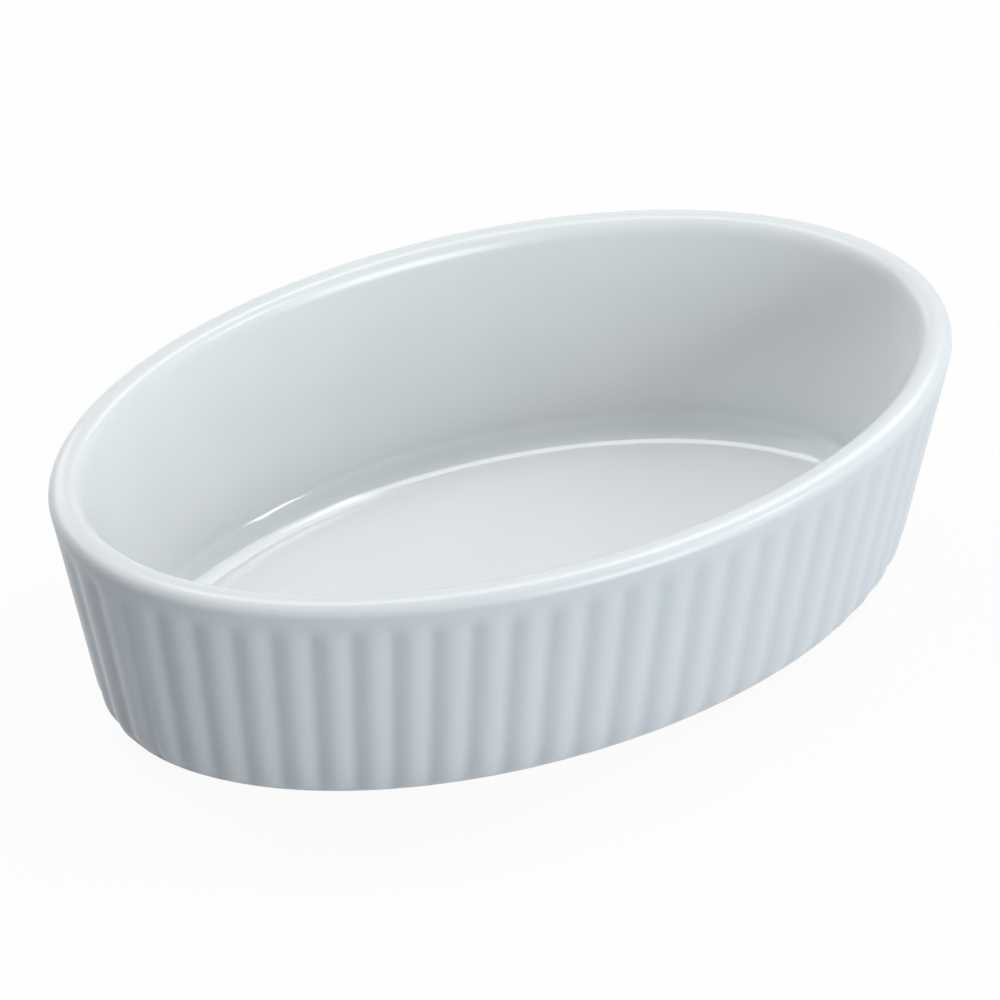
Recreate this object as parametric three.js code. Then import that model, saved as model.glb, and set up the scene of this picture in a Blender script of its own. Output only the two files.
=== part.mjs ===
import * as THREE from 'three';
import { mergeVertices } from 'three/addons/utils/BufferGeometryUtils.js';

// Oval souffle dish in white porcelain, fluted outside and smooth inside, in millimetres.
// It stands on z = 0 with its length along X and its centre on the Z axis.
// The clay is fired as one piece. A glass coat covers it down to the foot, and a second
// patch of the same glaze lies under the base, inside the bare ring that the dish stands on.

// Overall size
const LENGTH = 170;
const WIDTH = 100;
const HEIGHT = 51;

// Rim: a smooth roll from the inside wall, over its crown, into the outside wall
const RIM_WIDTH = 6.2;
const RIM_CROWN = 3.3;         // inset of the highest line; insets are measured square to the widest line
const INNER_RISE = 4.4;        // top of the rim above the end of the inside wall
const OUTER_RISE = 2.6;        // top of the rim above its widest line

// Outside wall and its flutes
const WALL_LEAN = 0.1445;      // inset gained for each millimetre down from the widest line
const FLUTES = 62;
const FLUTE_DEPTH = 0.6;
const FLUTE_POWER = 1.2;       // power of the sine across a rib: near 1 ribs are round and valleys narrow
const FLUTE_START = 47;        // height at which the valleys begin, under the plain rim
const FLUTE_TOP = 43.2;        // height at which the valleys have reached their full depth
const CREST_SHARE = 0.5;       // share of a flute from its valley to the crest of the rib
const EDGE_HEIGHT = 8;         // rounded lower edge of the wall
const EDGE_REACH = 5.2;        // how far that edge would curve in by the time it met the table

// Inside: leaning wall, cove and flat floor
const FLOOR_HEIGHT = 6;
const FLOOR_INSET = 15;        // edge of the flat floor
const COVE_RADIUS = 4;
const INSIDE_LEAN = 7;         // degrees that the inside wall leans out from the cove

// Foot, base and glaze
const GLAZE = 0.3;
const GLAZE_LINE = 1;          // height at which the outer coat stops, above the bare foot
const FOOT_INSET = 9.5;
const FOOT_WIDTH = 3.2;
const BASE_RECESS = 1.5;
const RECESS_DRAFT = 0.3;      // inset gained from the foot's inner edge to the recessed base

// Steps of the faceted surfaces
const SMOOTH_SIDES = 80;
const POINTS_PER_FLUTE = 4;
const FLUTED_SIDES = FLUTES * POINTS_PER_FLUTE;
const COVE_STEPS = 3;
const RIM_STEPS = 3;           // on each side of the crown
const EDGE_STEPS = 2;
const OUTLINE_STEPS = 4000;    // for even spacing along the widest line of the rim

const rimOutline = new THREE.EllipseCurve(0, 0, LENGTH / 2, WIDTH / 2);
rimOutline.arcLengthDivisions = OUTLINE_STEPS;

// How far back the surface lies at a share of one flute: 1 in the valley, 0 on the crest halfway along
function fluteShape(share) {
  return 1 - Math.abs(Math.sin(Math.PI * share)) ** FLUTE_POWER;
}

// One level ring, parallel to the widest line of the rim, with points evenly spaced along that line.
// A rib crest lies at each end of the dish, and valleys are pressed in by depth.
function ring({ inset, height, sides, depth }) {
  const points = [];
  for (let i = 0; i < sides; i += 1) {
    const angle = 2 * Math.PI * rimOutline.getUtoTmapping(i / sides);
    const inward = new THREE.Vector2(-Math.cos(angle) / LENGTH, -Math.sin(angle) / WIDTH).normalize();
    const reach = inset + depth * fluteShape((i * FLUTES) / sides + CREST_SHARE);
    points.push(new THREE.Vector3(
      (LENGTH / 2) * Math.cos(angle) + inward.x * reach,
      (WIDTH / 2) * Math.sin(angle) + inward.y * reach,
      height,
    ));
  }
  return points;
}

// Triangles between two rings, whose numbers of sides may differ
function band(first, second) {
  const triangles = [];
  let i = 0;
  let j = 0;
  while (i < first.length || j < second.length) {
    const a = first[i % first.length];
    const b = second[j % second.length];
    const firstIsBehind = (i + 1) * second.length <= (j + 1) * first.length;
    if (i < first.length && firstIsBehind) {
      i += 1;
      triangles.push([a, b, first[i % first.length]]);
    } else {
      j += 1;
      triangles.push([a, b, second[j % second.length]]);
    }
  }
  return triangles;
}

// Triangles of a chain of rings, from one to the next
function skin(rings) {
  return rings.slice(1).flatMap((next, i) => band(rings[i], next));
}

// A flat face that fills a ring, seen from above
function disc(edge) {
  const centre = new THREE.Vector3(0, 0, edge[0].z);
  return edge.map((point, i) => [centre, point, edge[(i + 1) % edge.length]]);
}

function flipped(triangles) {
  return triangles.map(([a, b, c]) => [a, c, b]);
}

// Points along an arc of a section, between two angles in degrees from the outward direction.
// A section's X is the outward position, which is minus the inset, and its Y the height.
function arc({ outward, height, reach, rise, from, to, steps }) {
  const [start, end] = [from, to].map(THREE.MathUtils.degToRad);
  return new THREE.EllipseCurve(outward, height, reach, rise, start, end, to < from).getPoints(steps);
}

// Section of the glazed surface from the edge of the floor, up the inside and over the rim
function smoothSection() {
  const crown = { outward: -RIM_CROWN, steps: RIM_STEPS };
  const inner = { height: HEIGHT - INNER_RISE, reach: RIM_WIDTH - RIM_CROWN, rise: INNER_RISE };
  const outer = { height: HEIGHT - OUTER_RISE, reach: RIM_CROWN, rise: OUTER_RISE };
  return [
    ...arc({
      outward: -FLOOR_INSET,
      height: FLOOR_HEIGHT + COVE_RADIUS,
      reach: COVE_RADIUS,
      rise: COVE_RADIUS,
      from: -90,
      to: -INSIDE_LEAN,
      steps: COVE_STEPS,
    }),
    ...arc({ ...crown, ...inner, from: 180, to: 90 }),
    ...arc({ ...crown, ...outer, from: 90, to: 0 }).slice(1),
  ];
}

// Section of the glazed surface from the top of the flutes down and round the lower edge
function flutedSection() {
  const wallInset = (height) => (HEIGHT - OUTER_RISE - height) * WALL_LEAN;
  const edgeTurn = THREE.MathUtils.radToDeg(Math.asin(1 - GLAZE_LINE / EDGE_HEIGHT));
  return [
    new THREE.Vector2(-wallInset(FLUTE_START), FLUTE_START),
    new THREE.Vector2(-wallInset(FLUTE_TOP), FLUTE_TOP),
    ...arc({
      outward: -wallInset(EDGE_HEIGHT) - EDGE_REACH,
      height: EDGE_HEIGHT,
      reach: EDGE_REACH,
      rise: EDGE_HEIGHT,
      from: 0,
      to: -edgeTurn,
      steps: EDGE_STEPS,
    }),
  ];
}

// The same section set back into the clay by the thickness of the glaze
function underGlaze(section) {
  return section.map((point, i) => {
    const before = section[Math.max(i - 1, 0)];
    const after = section[Math.min(i + 1, section.length - 1)];
    const along = after.clone().sub(before).normalize();
    return point.clone().add(new THREE.Vector2(along.y, -along.x).multiplyScalar(GLAZE));
  });
}

// Depth of the valleys along the fluted section: none under the rim and at the glaze line
function fluteDepth(step, steps) {
  return step === 0 || step === steps - 1 ? 0 : FLUTE_DEPTH;
}

// Rings of a coated surface, from the edge of the floor over the rim to the glaze line
function coatedRings(section, smoothCount) {
  return section.map((point, i) => {
    const fluted = i >= smoothCount;
    return ring({
      inset: -point.x,
      height: point.y,
      sides: fluted ? FLUTED_SIDES : SMOOTH_SIDES,
      depth: fluted ? fluteDepth(i - smoothCount, section.length - smoothCount) : 0,
    });
  });
}

function smoothRing(inset, height) {
  return ring({ inset, height, sides: SMOOTH_SIDES, depth: 0 });
}

const smooth = smoothSection();
const glazedSection = [...smooth, ...flutedSection()];
const glazedRings = coatedRings(glazedSection, smooth.length);
const clayRings = coatedRings(underGlaze(glazedSection), smooth.length);

// Surface of the clay that the coat covers, and the recessed base with its edge
const coveredClay = [...disc(clayRings[0]), ...skin(clayRings)];
const baseInset = FOOT_INSET + FOOT_WIDTH + RECESS_DRAFT;
const baseEdge = smoothRing(baseInset, BASE_RECESS - GLAZE);
const baseTop = smoothRing(baseInset, BASE_RECESS);
const coveredBase = [...band(baseEdge, baseTop), ...flipped(disc(baseTop))];

// Fired clay: floor, fluted wall and rim under the coat, then the bare foot and the recessed base
function porcelainBody() {
  const foot = skin([
    clayRings.at(-1),
    smoothRing(FOOT_INSET, 0),
    smoothRing(FOOT_INSET + FOOT_WIDTH, 0),
    baseEdge,
  ]);
  return [...coveredClay, ...foot, ...coveredBase];
}

// Glass coat over the floor, the inside wall, the rim and the flutes
function glazeCoat() {
  const lowerEdge = band(glazedRings.at(-1), clayRings.at(-1));
  return [...disc(glazedRings[0]), ...skin(glazedRings), ...lowerEdge, ...flipped(coveredClay)];
}

// Patch of glaze over the recessed base
function baseGlaze() {
  return [...flipped(coveredBase), ...flipped(disc(baseEdge))];
}

function piece(name, triangles, look) {
  const geometry = new THREE.BufferGeometry().setFromPoints(triangles.flat());
  const mesh = new THREE.Mesh(mergeVertices(geometry), new THREE.MeshStandardMaterial(look));
  mesh.name = name;
  return mesh;
}

const dish = new THREE.Group();
dish.name = 'souffle_dish';
dish.add(
  piece('porcelain_body', porcelainBody(), { color: 0xe6e2da, roughness: 0.75, metalness: 0 }),
  piece('glaze_coat', glazeCoat(), { color: 0xeff2f6, roughness: 0.12, metalness: 0 }),
  piece('base_glaze', baseGlaze(), { color: 0xeff2f6, roughness: 0.2, metalness: 0 }),
);

export default dish;
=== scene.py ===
import math

import bpy
import numpy as np
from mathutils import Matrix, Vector


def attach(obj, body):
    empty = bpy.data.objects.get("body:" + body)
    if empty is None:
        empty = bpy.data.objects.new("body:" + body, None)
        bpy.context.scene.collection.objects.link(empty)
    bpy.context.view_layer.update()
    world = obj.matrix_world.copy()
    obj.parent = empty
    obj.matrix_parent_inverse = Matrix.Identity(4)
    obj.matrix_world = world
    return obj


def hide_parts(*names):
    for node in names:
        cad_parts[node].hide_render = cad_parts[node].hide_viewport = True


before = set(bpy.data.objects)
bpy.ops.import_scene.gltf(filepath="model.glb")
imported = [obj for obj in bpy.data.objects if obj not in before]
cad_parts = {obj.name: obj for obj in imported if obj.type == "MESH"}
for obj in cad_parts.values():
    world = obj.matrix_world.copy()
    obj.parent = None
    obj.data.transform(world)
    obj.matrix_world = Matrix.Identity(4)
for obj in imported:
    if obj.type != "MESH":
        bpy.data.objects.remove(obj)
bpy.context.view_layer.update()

scene = bpy.context.scene
scene.view_settings.view_transform = "Standard"
mm = 0.001
print("frame loaded, nodes:", ", ".join(sorted(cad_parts)))


# sRGB hex text to the linear colour that a shader socket takes
def linearColour(hexText):
    channel = np.array([int(hexText[i:i + 2], 16) for i in (1, 3, 5)]) / 255
    linear = np.where(channel <= 0.04045, channel / 12.92, ((channel + 0.055) / 1.055) ** 2.4)
    return (*linear.tolist(), 1.0)


# one node with its settings; an input is a value, or a socket to link from
def addNode(tree, kind, settings=None, inputs=None):
    node = tree.nodes.new(kind)
    for key, value in (settings or {}).items():
        setattr(node, key, value)
    for key, value in (inputs or {}).items():
        if isinstance(value, bpy.types.NodeSocket):
            tree.links.new(value, node.inputs[key])
        else:
            node.inputs[key].default_value = value
    return node


# a material with an empty node tree
def newMaterial(name):
    material = bpy.data.materials.new(name)
    material.use_nodes = True
    material.node_tree.nodes.clear()
    return material, material.node_tree


# unit direction from the dish outwards: azimuth from the front towards the right, and elevation, in degrees
def outwards(azimuth, elevation):
    turn, tilt = math.radians(azimuth), math.radians(elevation)
    return Vector((math.sin(turn) * math.cos(tilt), -math.cos(turn) * math.cos(tilt), math.sin(tilt)))


# lengths are in millimetres until a mesh is made; a section is a row of (inset, height) points, and insets
# are measured inwards, square to the widest line of the rim

# widest line of the rim; every level ring of the dish runs parallel to it
oval = {"halfLength": 85.0, "halfWidth": 50.0, "flutes": 62, "columnsPerFlute": 12, "fineSteps": 40000}


# columns evenly spaced along the ellipse: its running length is summed on a fine grid and turned back
# into angle; gives each column's point, its inward unit normal and its place counted in flutes
def ovalColumns(count):
    a, b = oval["halfLength"], oval["halfWidth"]
    fine = np.linspace(0, 2 * np.pi, oval["fineSteps"] + 1)
    speed = np.hypot(a * np.sin(fine), b * np.cos(fine))
    length = np.concatenate([[0], np.cumsum((speed[1:] + speed[:-1]) / 2 * np.diff(fine))])
    angle = np.interp(np.linspace(0, length[-1], count, endpoint=False), length, fine)
    point = np.stack([a * np.cos(angle), b * np.sin(angle)], -1)
    inward = -np.stack([np.cos(angle) / a, np.sin(angle) / b], -1)
    inward /= np.linalg.norm(inward, axis=-1, keepdims=True)
    return point, inward, np.arange(count) * oval["flutes"] / count


# a corner turned into an arc: its centre lies on the corner's bisector, and it starts and ends where it
# touches the two straights
def roundedCorner(before, corner, after, radius, steps):
    before, corner, after = (np.asarray(p, float) for p in (before, corner, after))
    first = (before - corner) / np.linalg.norm(before - corner)
    last = (after - corner) / np.linalg.norm(after - corner)
    half = math.acos(np.clip(first @ last, -1, 1)) / 2
    centre = corner + (first + last) / np.linalg.norm(first + last) * radius / math.sin(half)
    start = corner + first * radius / math.tan(half) - centre
    end = corner + last * radius / math.tan(half) - centre
    turn = math.atan2(start[0] * end[1] - start[1] * end[0], start @ end)
    swing = np.linspace(0, turn, steps + 1)
    return centre + np.stack([start[0] * np.cos(swing) - start[1] * np.sin(swing),
                              start[0] * np.sin(swing) + start[1] * np.cos(swing)], -1)


# part of an ellipse between two angles in degrees from the outward direction
def ellipseArc(inset, height, reach, rise, start, end, steps):
    angle = np.radians(np.linspace(start, end, steps + 1))
    return np.stack([inset - reach * np.cos(angle), height + rise * np.sin(angle)], -1)


# 0 below low, 1 above high and an eased rise between them
def smoothStep(value, low, high):
    t = np.clip((value - low) / (high - low), 0, 1)
    return t * t * (3 - 2 * t)


inside = {
    "floorHeight": 6.0, "floorInset": 15.7,      # low corner of the cove
    "coveHeight": 10.1, "coveInset": 11.4,       # high corner of the cove, where the wall starts
    "lowRadius": 10.0, "highRadius": 2.6,
    "lowSteps": 8, "highSteps": 6, "wallSteps": 4,
}
rim = {
    "width": 6.2, "top": 51.0, "crown": 3.3, "innerRise": 4.4, "outerRise": 2.6,
    "innerSteps": 11, "outerSteps": 12,
}
outside = {
    "lean": 0.1445,
    "fluteDepth": 0.56, "fullness": 1.2, "valleySoft": 0.4,
    "fluteStart": 47.6, "fluteFull": 42.6,       # valleys deepen between these heights
    "edgeHeight": 8.0, "edgeReach": 3.3, "glazeLine": 1.0, "fluteEnd": 2.2,
    "neckSteps": 9, "wallSteps": 3, "edgeSteps": 12,
}
foot = {"inset": 9.5, "width": 3.2, "recess": 1.5, "draft": 0.3}
glazeThickness = 0.3
floorShares = [0.25, 0.5, 0.75]                  # rings of the flat faces, as shares of their edge
coatCrease, footCrease = 60, 30                  # degrees past which an edge stays sharp


# over the rim: two quarter ellipses that meet on the crown; each ends where it leans like the wall next to
# it, so that the rim rolls into both walls without an edge
def rimSection():
    crown, innerReach = rim["crown"], rim["width"] - rim["crown"]
    innerFoot, outerFoot = rim["top"] - rim["innerRise"], rim["top"] - rim["outerRise"]
    innerLean = (inside["coveInset"] - rim["width"]) / (innerFoot - inside["coveHeight"])
    innerTurn = math.degrees(math.atan(innerLean * rim["innerRise"] / innerReach))
    outerTurn = math.degrees(math.atan(outside["lean"] * rim["outerRise"] / crown))
    inner = ellipseArc(crown, innerFoot, innerReach, rim["innerRise"], 180 - innerTurn, 90, rim["innerSteps"])
    outer = ellipseArc(crown, outerFoot, crown, rim["outerRise"], 90, -outerTurn, rim["outerSteps"])
    return np.concatenate([inner[:-1], outer])


rimRun = rimSection()


# inset of the ribs' crests at a height on the straight of the outside wall, which starts where the rim ends
def wallInset(height):
    return rimRun[-1, 0] + (rimRun[-1, 1] - height) * outside["lean"]


# straight run of points between two heights on the outside wall
def wallRun(high, low, steps):
    height = np.linspace(high, low, steps + 1)
    return np.stack([wallInset(height), height], -1)


# edge of the floor, the cove's two bends and the inside wall up to the rim
def insideSection():
    floorStart = [inside["floorInset"] + inside["lowRadius"], inside["floorHeight"]]
    low = [inside["floorInset"], inside["floorHeight"]]
    high = [inside["coveInset"], inside["coveHeight"]]
    return np.concatenate([
        [floorStart],
        roundedCorner(floorStart, low, high, inside["lowRadius"], inside["lowSteps"]),
        roundedCorner(low, high, rimRun[0], inside["highRadius"], inside["highSteps"]),
        np.linspace(high, rimRun[0], inside["wallSteps"] + 1)[1:-1]])


# outside wall from the rim down, then the lower edge: part of an ellipse that goes on leaning like the wall
def outsideSection():
    edgeTurn = math.degrees(math.asin(1 - outside["glazeLine"] / outside["edgeHeight"]))
    edge = ellipseArc(wallInset(outside["edgeHeight"]) + outside["edgeReach"], outside["edgeHeight"],
                      outside["edgeReach"], outside["edgeHeight"], 0, -edgeTurn, outside["edgeSteps"])
    edge[:, 0] += (outside["edgeHeight"] - edge[:, 1]) * outside["lean"]
    return np.concatenate([
        wallRun(rimRun[-1, 1], outside["fluteFull"], outside["neckSteps"])[1:-1],
        wallRun(outside["fluteFull"], outside["edgeHeight"], outside["wallSteps"])[:-1],
        edge])


# a section set back into the clay by the glaze's thickness, square to its own direction
def setBack(section, thickness):
    along = np.gradient(section, axis=0)
    along /= np.linalg.norm(along, axis=1, keepdims=True)
    return section + np.stack([-along[:, 1], along[:, 0]], -1) * thickness


# rib and valley across one flute: a softened absolute sine raised to the fullness, 0 on the crest and 1 in
# the valley
def flutePress(share):
    soft, power = outside["valleySoft"], outside["fullness"] / 2
    wave = np.sin(np.pi * (share + 0.5)) ** 2
    low, high = soft ** 2, 1 + soft ** 2
    return 1 - ((wave + low) ** power - low ** power) / (high ** power - low ** power)


# share of the valleys' depth at a height on the outside: fades out under the rim and above the foot
def fluteShare(height):
    return (smoothStep(height, outside["glazeLine"], outside["fluteEnd"])
            * (1 - smoothStep(height, outside["fluteFull"], outside["fluteStart"])))


# rings of a section: each column's point moved in by the inset and by the press of the flutes
def sweep(section, depth, columns):
    point, inward, share = columns
    reach = section[:, 0, None] + depth[:, None] * flutePress(share)
    level = point + inward * reach[..., None]
    height = np.broadcast_to(section[:, 1, None, None], level.shape[:2] + (1,))
    return np.concatenate([level, height], -1)


# a ring drawn in to its middle by shares, without the middle point itself
def flatRings(ring, shares):
    shares = np.asarray(shares)[:, None, None]
    height = np.broadcast_to(ring[None, :, 2:], (len(shares), len(ring), 1))
    return np.concatenate([ring[None, :, :2] * shares, height], -1)


# closed mesh from rings in order, with a pole at both ends; rings run anticlockwise seen from above, and
# the order goes from the upper pole outwards and down, so that faces point out; fields are values for
# each ring and column that the material reads, and 0 on the rings after their last
def ringMesh(name, rings, poleHeights, crease, fields):
    rows, columns = rings.shape[:2]
    count = rows * columns
    poles = np.array([[0, 0, height] for height in poleHeights])
    vertices = np.concatenate([rings.reshape(-1, 3), poles]) * mm
    here = np.arange(columns)
    there = np.roll(here, -1)
    base = np.arange(rows - 1)[:, None] * columns
    quads = np.stack([base + here, base + columns + here, base + columns + there, base + there], -1)
    quads = quads.reshape(-1, 4)
    bottom = (rows - 1) * columns
    first = np.stack([np.full(columns, count), here, there], -1)
    last = np.stack([np.full(columns, count + 1), bottom + there, bottom + here], -1)
    mesh = bpy.data.meshes.new(name)
    mesh.from_pydata(vertices.tolist(), [], quads.tolist() + first.tolist() + last.tolist())
    mesh.shade_smooth()
    mesh.set_sharp_from_angle(angle=math.radians(crease))
    for fieldName, values in fields.items():
        field = mesh.attributes.new(fieldName, "FLOAT", "POINT")
        padded = np.zeros((rows, columns))
        padded[:len(values)] = values
        field.data.foreach_set("value", np.append(padded.ravel(), [0, 0]).astype(np.float32))
    piece = bpy.data.objects.new(name, mesh)
    scene.collection.objects.link(piece)
    print(name, "triangles:", 2 * len(quads) + 2 * columns)
    return piece


columns = ovalColumns(oval["flutes"] * oval["columnsPerFlute"])
insideRun, outsideRun = insideSection(), outsideSection()
section = np.concatenate([insideRun, rimRun, outsideRun])
valleys = fluteShare(section[:, 1])
valleys[:np.argmax(section[:, 1])] = 0           # none inside the crown of the rim
glazeSurface = sweep(section, valleys * outside["fluteDepth"], columns)
hidden = np.unique(np.append(np.arange(0, len(section), 2), len(section) - 1))   # covered clay: fewer rings
claySurface = sweep(setBack(section, glazeThickness), valleys * outside["fluteDepth"], columns)[hidden]
print("surfaces worked out, section points:", len(section))

# how the glaze lies, for its material to read: the pooling field is 1 where the glaze ran together in the
# middle of the cove, which also paints shade into the cove's corner, and less in the valleys, pooled glaze
# and painted shade again, and a little on the rim, where it is painted shade that darkens the rim's top;
# thinCoat is 0 on the floor, grows up the inside wall and is 1 outside; outerSide goes from 0 to 1 over the
# rim
lie = {
    # coveReach and the valley and rim shares set where shade is painted along with the pooled glaze; on the
    # rim the shade is painted alone
    "coveReach": 3.0, "valleyShadeAndPool": 0.43, "rimShade": 0.35,
    "wallThin": 0.55, "thinFrom": 12.0, "thinTo": 46.0,      # heights on the inside wall
    "outerThinFrom": 0.7,                                    # share of the way over the rim
}
overRim = np.linspace(0, 1, len(rimRun))
bareInside, bareOutside = np.zeros(len(insideRun)), np.zeros(len(outsideRun))
coveMiddle = [(inside["floorInset"] + inside["coveInset"]) / 2,
              (inside["floorHeight"] + inside["coveHeight"]) / 2]
coveDistance = np.linalg.norm(insideRun - coveMiddle, axis=1)
# painted shade in the cove's corner, laid in with the glaze that ran together there
coveShadeAndPool = np.exp(-(coveDistance / lie["coveReach"]) ** 2)
# the cove's pooling and painted shade, then painted shade in a bell across the rim that darkens its top, none
# outside
ringShadeAndPool = np.concatenate([coveShadeAndPool, lie["rimShade"] * np.sin(np.pi * overRim), bareOutside])
# in the flutes' valleys: pooled glaze and painted shade
poolAndShade = ringShadeAndPool[:, None] + lie["valleyShadeAndPool"] * valleys[:, None] * flutePress(columns[2])
outerSide = np.concatenate([bareInside, overRim, bareOutside + 1])
wallThin = lie["wallThin"] * smoothStep(insideRun[:, 1], lie["thinFrom"], lie["thinTo"])
rimThin = lie["wallThin"] + (1 - lie["wallThin"]) * smoothStep(overRim, lie["outerThinFrom"], 1)
thinCoat = np.concatenate([wallThin, rimThin, bareOutside + 1])
floorField = np.zeros((len(floorShares), len(columns[2])))
coatFields = {
    name: np.concatenate([floorField, np.broadcast_to(field, poolAndShade.shape)])
    for name, field in (("poolAndShade", poolAndShade), ("outerSide", outerSide[:, None]), ("thinCoat", thinCoat[:, None]))}

# glass coat: out over the floor, wall, rim and flutes, then back along the clay
coatRings = np.concatenate([flatRings(glazeSurface[0], floorShares), glazeSurface,
                            claySurface[::-1], flatRings(claySurface[0], floorShares[::-1])])
coatPoles = glazeSurface[0, 0, 2], claySurface[0, 0, 2]
glazeCoat = ringMesh("glaze_coat_fired", coatRings, coatPoles, coatCrease, coatFields)

# fired clay: its covered surface, then the bare foot and the recessed base
baseInset = foot["inset"] + foot["width"] + foot["draft"]
footPath = np.array([[foot["inset"], 0], [foot["inset"] + foot["width"], 0], [baseInset, foot["recess"]]])
footRings = sweep(footPath, np.zeros(len(footPath)), columns)
bodyRings = np.concatenate([flatRings(claySurface[0], floorShares), claySurface, footRings,
                            flatRings(footRings[-1], floorShares[::-1])])
bodyPoles = claySurface[0, 0, 2], foot["recess"]
porcelainBody = ringMesh("porcelain_body_biscuit", bodyRings, bodyPoles, footCrease, {})

# glaze patch in the recess
patchPath = np.array([[baseInset, foot["recess"]], [baseInset, foot["recess"] - glazeThickness]])
patchEdge = sweep(patchPath, np.zeros(len(patchPath)), columns)
patchRings = np.concatenate([flatRings(patchEdge[0], floorShares), patchEdge,
                             flatRings(patchEdge[1], floorShares[::-1])])
basePatch = ringMesh("base_glaze_fired", patchRings, patchPath[:, 1], footCrease, {})

# clear glaze dipped over white clay and fired: smooth and glassy on the floor, softer up the wall and on the
# outside where the coat is thin; cooler and greyer where it ran together, and the same colour laid on as
# painted shade in the cove, the valleys and over the rim; with faint clouds, and with a slight ripple and,
# outside, a longer wave left by the dip
glaze = {
    # the second colour is the glaze where it ran together, also used as painted shade in the cove, the
    # valleys and on the rim
    "thin": "#f0f2f3", "pooledAndShaded": "#d3dadf", "poolAndShadeShare": 0.6, "cloudSize": 25.0, "cloudShare": 0.25,
    "thickRoughness": 0.04, "thinRoughness": 0.42, "ior": 1.5,
    "rippleSize": 5.0, "rippleHeight": 0.003, "waveSize": 11.0, "waveHeight": 0.03,
}
dippedGlaze, tree = newMaterial("porcelainDippedGlaze")
place = addNode(tree, "ShaderNodeTexCoord").outputs["Object"]
poolAndShadeField, sideField, thinField = (
    addNode(tree, "ShaderNodeAttribute", {"attribute_name": name}).outputs["Fac"]
    for name in ("poolAndShade", "outerSide", "thinCoat"))
clouds = addNode(tree, "ShaderNodeTexNoise", inputs={
    "Vector": place, "Scale": 1 / (glaze["cloudSize"] * mm), "Detail": 2.0}).outputs["Fac"]
cloudPart = addNode(tree, "ShaderNodeMath", {"operation": "MULTIPLY"}, {0: clouds, 1: glaze["cloudShare"]})
# mix factor towards the darker colour: pooled glaze and painted shade from the pooling field, plus faint
# clouds
thickness = addNode(tree, "ShaderNodeMath", {"operation": "MULTIPLY_ADD", "use_clamp": True}, {
    0: poolAndShadeField, 1: glaze["poolAndShadeShare"], 2: cloudPart.outputs[0]})
colour = addNode(tree, "ShaderNodeMix", {"data_type": "RGBA"}, {
    0: thickness.outputs[0], 6: linearColour(glaze["thin"]), 7: linearColour(glaze["pooledAndShaded"])})
roughness = addNode(tree, "ShaderNodeMapRange", inputs={
    "Value": thinField, "To Min": glaze["thickRoughness"], "To Max": glaze["thinRoughness"]})
wave = addNode(tree, "ShaderNodeTexNoise", inputs={
    "Vector": place, "Scale": 1 / (glaze["waveSize"] * mm), "Detail": 1.0}).outputs["Fac"]
waveHeight = addNode(tree, "ShaderNodeMath", {"operation": "MULTIPLY"}, {0: wave, 1: sideField})
waveBump = addNode(tree, "ShaderNodeBump", inputs={
    "Strength": 1.0, "Distance": glaze["waveHeight"] * mm, "Height": waveHeight.outputs[0]})
ripple = addNode(tree, "ShaderNodeTexNoise", inputs={
    "Vector": place, "Scale": 1 / (glaze["rippleSize"] * mm), "Detail": 1.0}).outputs["Fac"]
rippleBump = addNode(tree, "ShaderNodeBump", inputs={
    "Strength": 1.0, "Distance": glaze["rippleHeight"] * mm, "Height": ripple,
    "Normal": waveBump.outputs["Normal"]})
shader = addNode(tree, "ShaderNodeBsdfPrincipled", inputs={
    "Base Color": colour.outputs[2], "Roughness": roughness.outputs[0], "IOR": glaze["ior"],
    "Normal": rippleBump.outputs["Normal"]})
addNode(tree, "ShaderNodeOutputMaterial", inputs={"Surface": shader.outputs["BSDF"]})

# clay fired bare and rubbed smooth: matt and warmer than the glaze, with fine grit under the finger and a
# scatter of grey kiln dust; the grit is drawn at 0.4 mm, coarser than real grains, so that it shows
biscuit = {
    "colour": "#e6e2da", "roughness": 0.75, "ior": 1.5, "gritSize": 0.4, "gritHeight": 0.012,
    "dust": "#cbc3b6", "dustSize": 1.5, "dustFrom": 0.58, "dustTo": 0.72, "dustShare": 0.6,
}
biscuitClay, tree = newMaterial("porcelainBiscuitRubbed")
place = addNode(tree, "ShaderNodeTexCoord").outputs["Object"]
specks = addNode(tree, "ShaderNodeTexNoise", inputs={
    "Vector": place, "Scale": 1 / (biscuit["dustSize"] * mm), "Detail": 2.0}).outputs["Fac"]
dust = addNode(tree, "ShaderNodeMapRange", inputs={
    "Value": specks, "From Min": biscuit["dustFrom"], "From Max": biscuit["dustTo"],
    "To Max": biscuit["dustShare"]})
colour = addNode(tree, "ShaderNodeMix", {"data_type": "RGBA"}, {
    0: dust.outputs[0], 6: linearColour(biscuit["colour"]), 7: linearColour(biscuit["dust"])})
grit = addNode(tree, "ShaderNodeTexNoise", inputs={
    "Vector": place, "Scale": 1 / (biscuit["gritSize"] * mm), "Detail": 1.0}).outputs["Fac"]
gritBump = addNode(tree, "ShaderNodeBump", inputs={
    "Strength": 1.0, "Distance": biscuit["gritHeight"] * mm, "Height": grit})
shader = addNode(tree, "ShaderNodeBsdfPrincipled", inputs={
    "Base Color": colour.outputs[2], "Roughness": biscuit["roughness"], "IOR": biscuit["ior"],
    "Normal": gritBump.outputs["Normal"]})
addNode(tree, "ShaderNodeOutputMaterial", inputs={"Surface": shader.outputs["BSDF"]})

for piece, node, slotName, material in (
        (glazeCoat, "glaze_coat", "white_glaze", dippedGlaze),
        (porcelainBody, "porcelain_body", "bare_porcelain", biscuitClay),
        (basePatch, "base_glaze", "white_glaze", dippedGlaze)):
    piece.data.materials.append(material)
    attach(piece, "root")
    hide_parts(node)
print("materials made")


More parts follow.
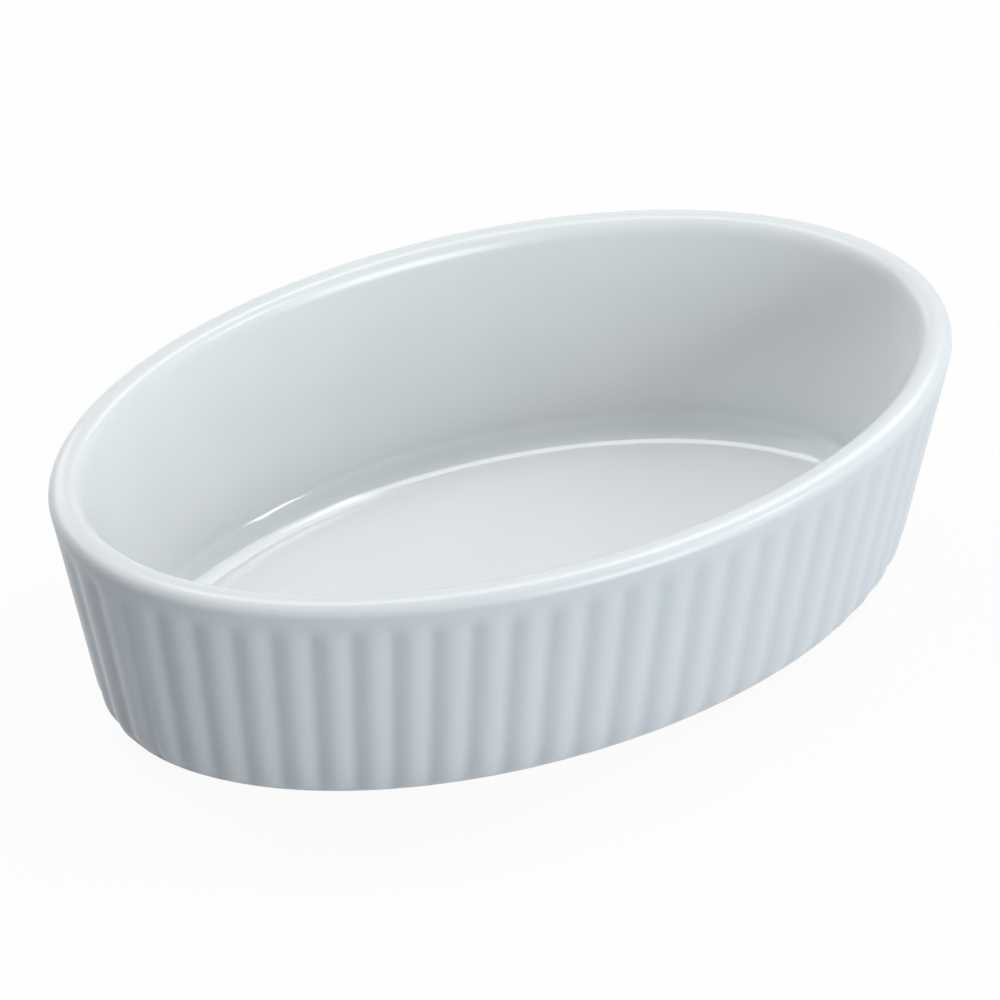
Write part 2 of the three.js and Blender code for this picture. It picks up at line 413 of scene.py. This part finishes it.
# 1 where a ray comes from the camera, a reflection or a clear body, which all see the studio as white
def seenWhite(tree):
    ray = addNode(tree, "ShaderNodeLightPath").outputs
    direct = addNode(tree, "ShaderNodeMath", {"operation": "MAXIMUM"}, {
        0: ray["Is Camera Ray"], 1: ray["Is Glossy Ray"]})
    either = addNode(tree, "ShaderNodeMath", {"operation": "MAXIMUM"}, {
        0: direct.outputs[0], 1: ray["Is Transmission Ray"]})
    return either.outputs[0]


# paper that looks white and keeps a faint shadow; the light that it throws back up is held down
paper = {"half": 3000.0, "drop": 0.05, "colour": "#f4f5f6", "bounce": "#a9b1b9", "whiteShare": 0.93}
corners = np.array([[-1, -1, 0], [1, -1, 0], [1, 1, 0], [-1, 1, 0]]) * paper["half"] - [0, 0, paper["drop"]]
mesh = bpy.data.meshes.new("studioFloor")
mesh.from_pydata((corners * mm).tolist(), [], [(0, 1, 2, 3)])
floor = bpy.data.objects.new("studioFloor", mesh)
scene.collection.objects.link(floor)
pureWhite = linearColour("#ffffff")
whitePaper, tree = newMaterial("paperRolledMatt")
seen = seenWhite(tree)
tone = addNode(tree, "ShaderNodeMix", {"data_type": "RGBA"}, {
    0: seen, 6: linearColour(paper["bounce"]), 7: linearColour(paper["colour"])})
matt = addNode(tree, "ShaderNodeBsdfDiffuse", inputs={"Color": tone.outputs[2]})
white = addNode(tree, "ShaderNodeEmission", inputs={"Color": pureWhite, "Strength": 1.0})
share = addNode(tree, "ShaderNodeMath", {"operation": "MULTIPLY"}, {0: seen, 1: paper["whiteShare"]})
mix = addNode(tree, "ShaderNodeMixShader", inputs={
    0: share.outputs[0], 1: matt.outputs[0], 2: white.outputs[0]})
addNode(tree, "ShaderNodeOutputMaterial", inputs={"Surface": mix.outputs[0]})
mesh.materials.append(whitePaper)

ambient = 0.04                                   # strength of the white surroundings as a light
world = bpy.data.worlds.new("studioWorld")
world.use_nodes = True
scene.world = world
tree = world.node_tree
tree.nodes.clear()
strength = addNode(tree, "ShaderNodeMath", {"operation": "MAXIMUM"}, {0: seenWhite(tree), 1: ambient})
backdrop = addNode(tree, "ShaderNodeBackground", inputs={
    "Color": pureWhite, "Strength": strength.outputs[0]})
addNode(tree, "ShaderNodeOutputWorld", inputs={"Surface": backdrop.outputs[0]})

# softboxes round the dish, facing it: sides in millimetres, power in watts
lampDistance, boxWhite = 1200.0, "#fcfefe"
lamps = {
    "frontSoftbox": {"azimuth": 20, "elevation": 12, "size": (450, 700), "power": 9.1, "tint": "#eaf1f5"},
    "rightSoftbox": {"azimuth": 101, "elevation": 52, "size": (450, 750), "power": 4.3, "tint": boxWhite},
    "stripSoftbox": {"azimuth": 155, "elevation": 80.2, "size": (1000, 220), "power": 3.7, "tint": boxWhite},
    "backSoftbox": {"azimuth": 204, "elevation": 30, "size": (900, 600), "power": 4.0, "tint": boxWhite},
    "leftSoftbox": {"azimuth": 242, "elevation": 55, "size": (900, 900), "power": 3.5, "tint": boxWhite},
    "smallSoftbox": {"azimuth": 48, "elevation": 35, "size": (180, 220), "power": 1.5, "tint": "#ffffff"},
}
for name, lamp in lamps.items():
    data = bpy.data.lights.new(name, "AREA")
    data.shape = "RECTANGLE"
    data.size, data.size_y = (side * mm for side in lamp["size"])
    data.energy = lamp["power"]
    data.color = linearColour(lamp["tint"])[:3]
    light = bpy.data.objects.new(name, data)
    scene.collection.objects.link(light)
    away = outwards(lamp["azimuth"], lamp["elevation"])
    light.location = away * lampDistance * mm
    light.rotation_euler = away.to_track_quat("Z", "Y").to_euler()
print("lamps set:", ", ".join(lamps))

# the photo's view: its direction and distance, the point in the middle of the frame, and the lens
view = {
    "azimuth": -24.156, "elevation": 41.717, "distance": 850.0, "aim": (4.03, 13.13, 15.29),
    "lens": 165.67, "sensor": 36.0,
}
cameraData = bpy.data.cameras.new("photoCamera")
cameraData.lens = view["lens"]
cameraData.sensor_width = view["sensor"]
camera = bpy.data.objects.new("photoCamera", cameraData)
scene.collection.objects.link(camera)
camera.location = outwards(view["azimuth"], view["elevation"]) * view["distance"] * mm
camera.rotation_euler = (camera.location - Vector(view["aim"]) * mm).to_track_quat("Z", "Y").to_euler()
scene.camera = camera
print("camera set")
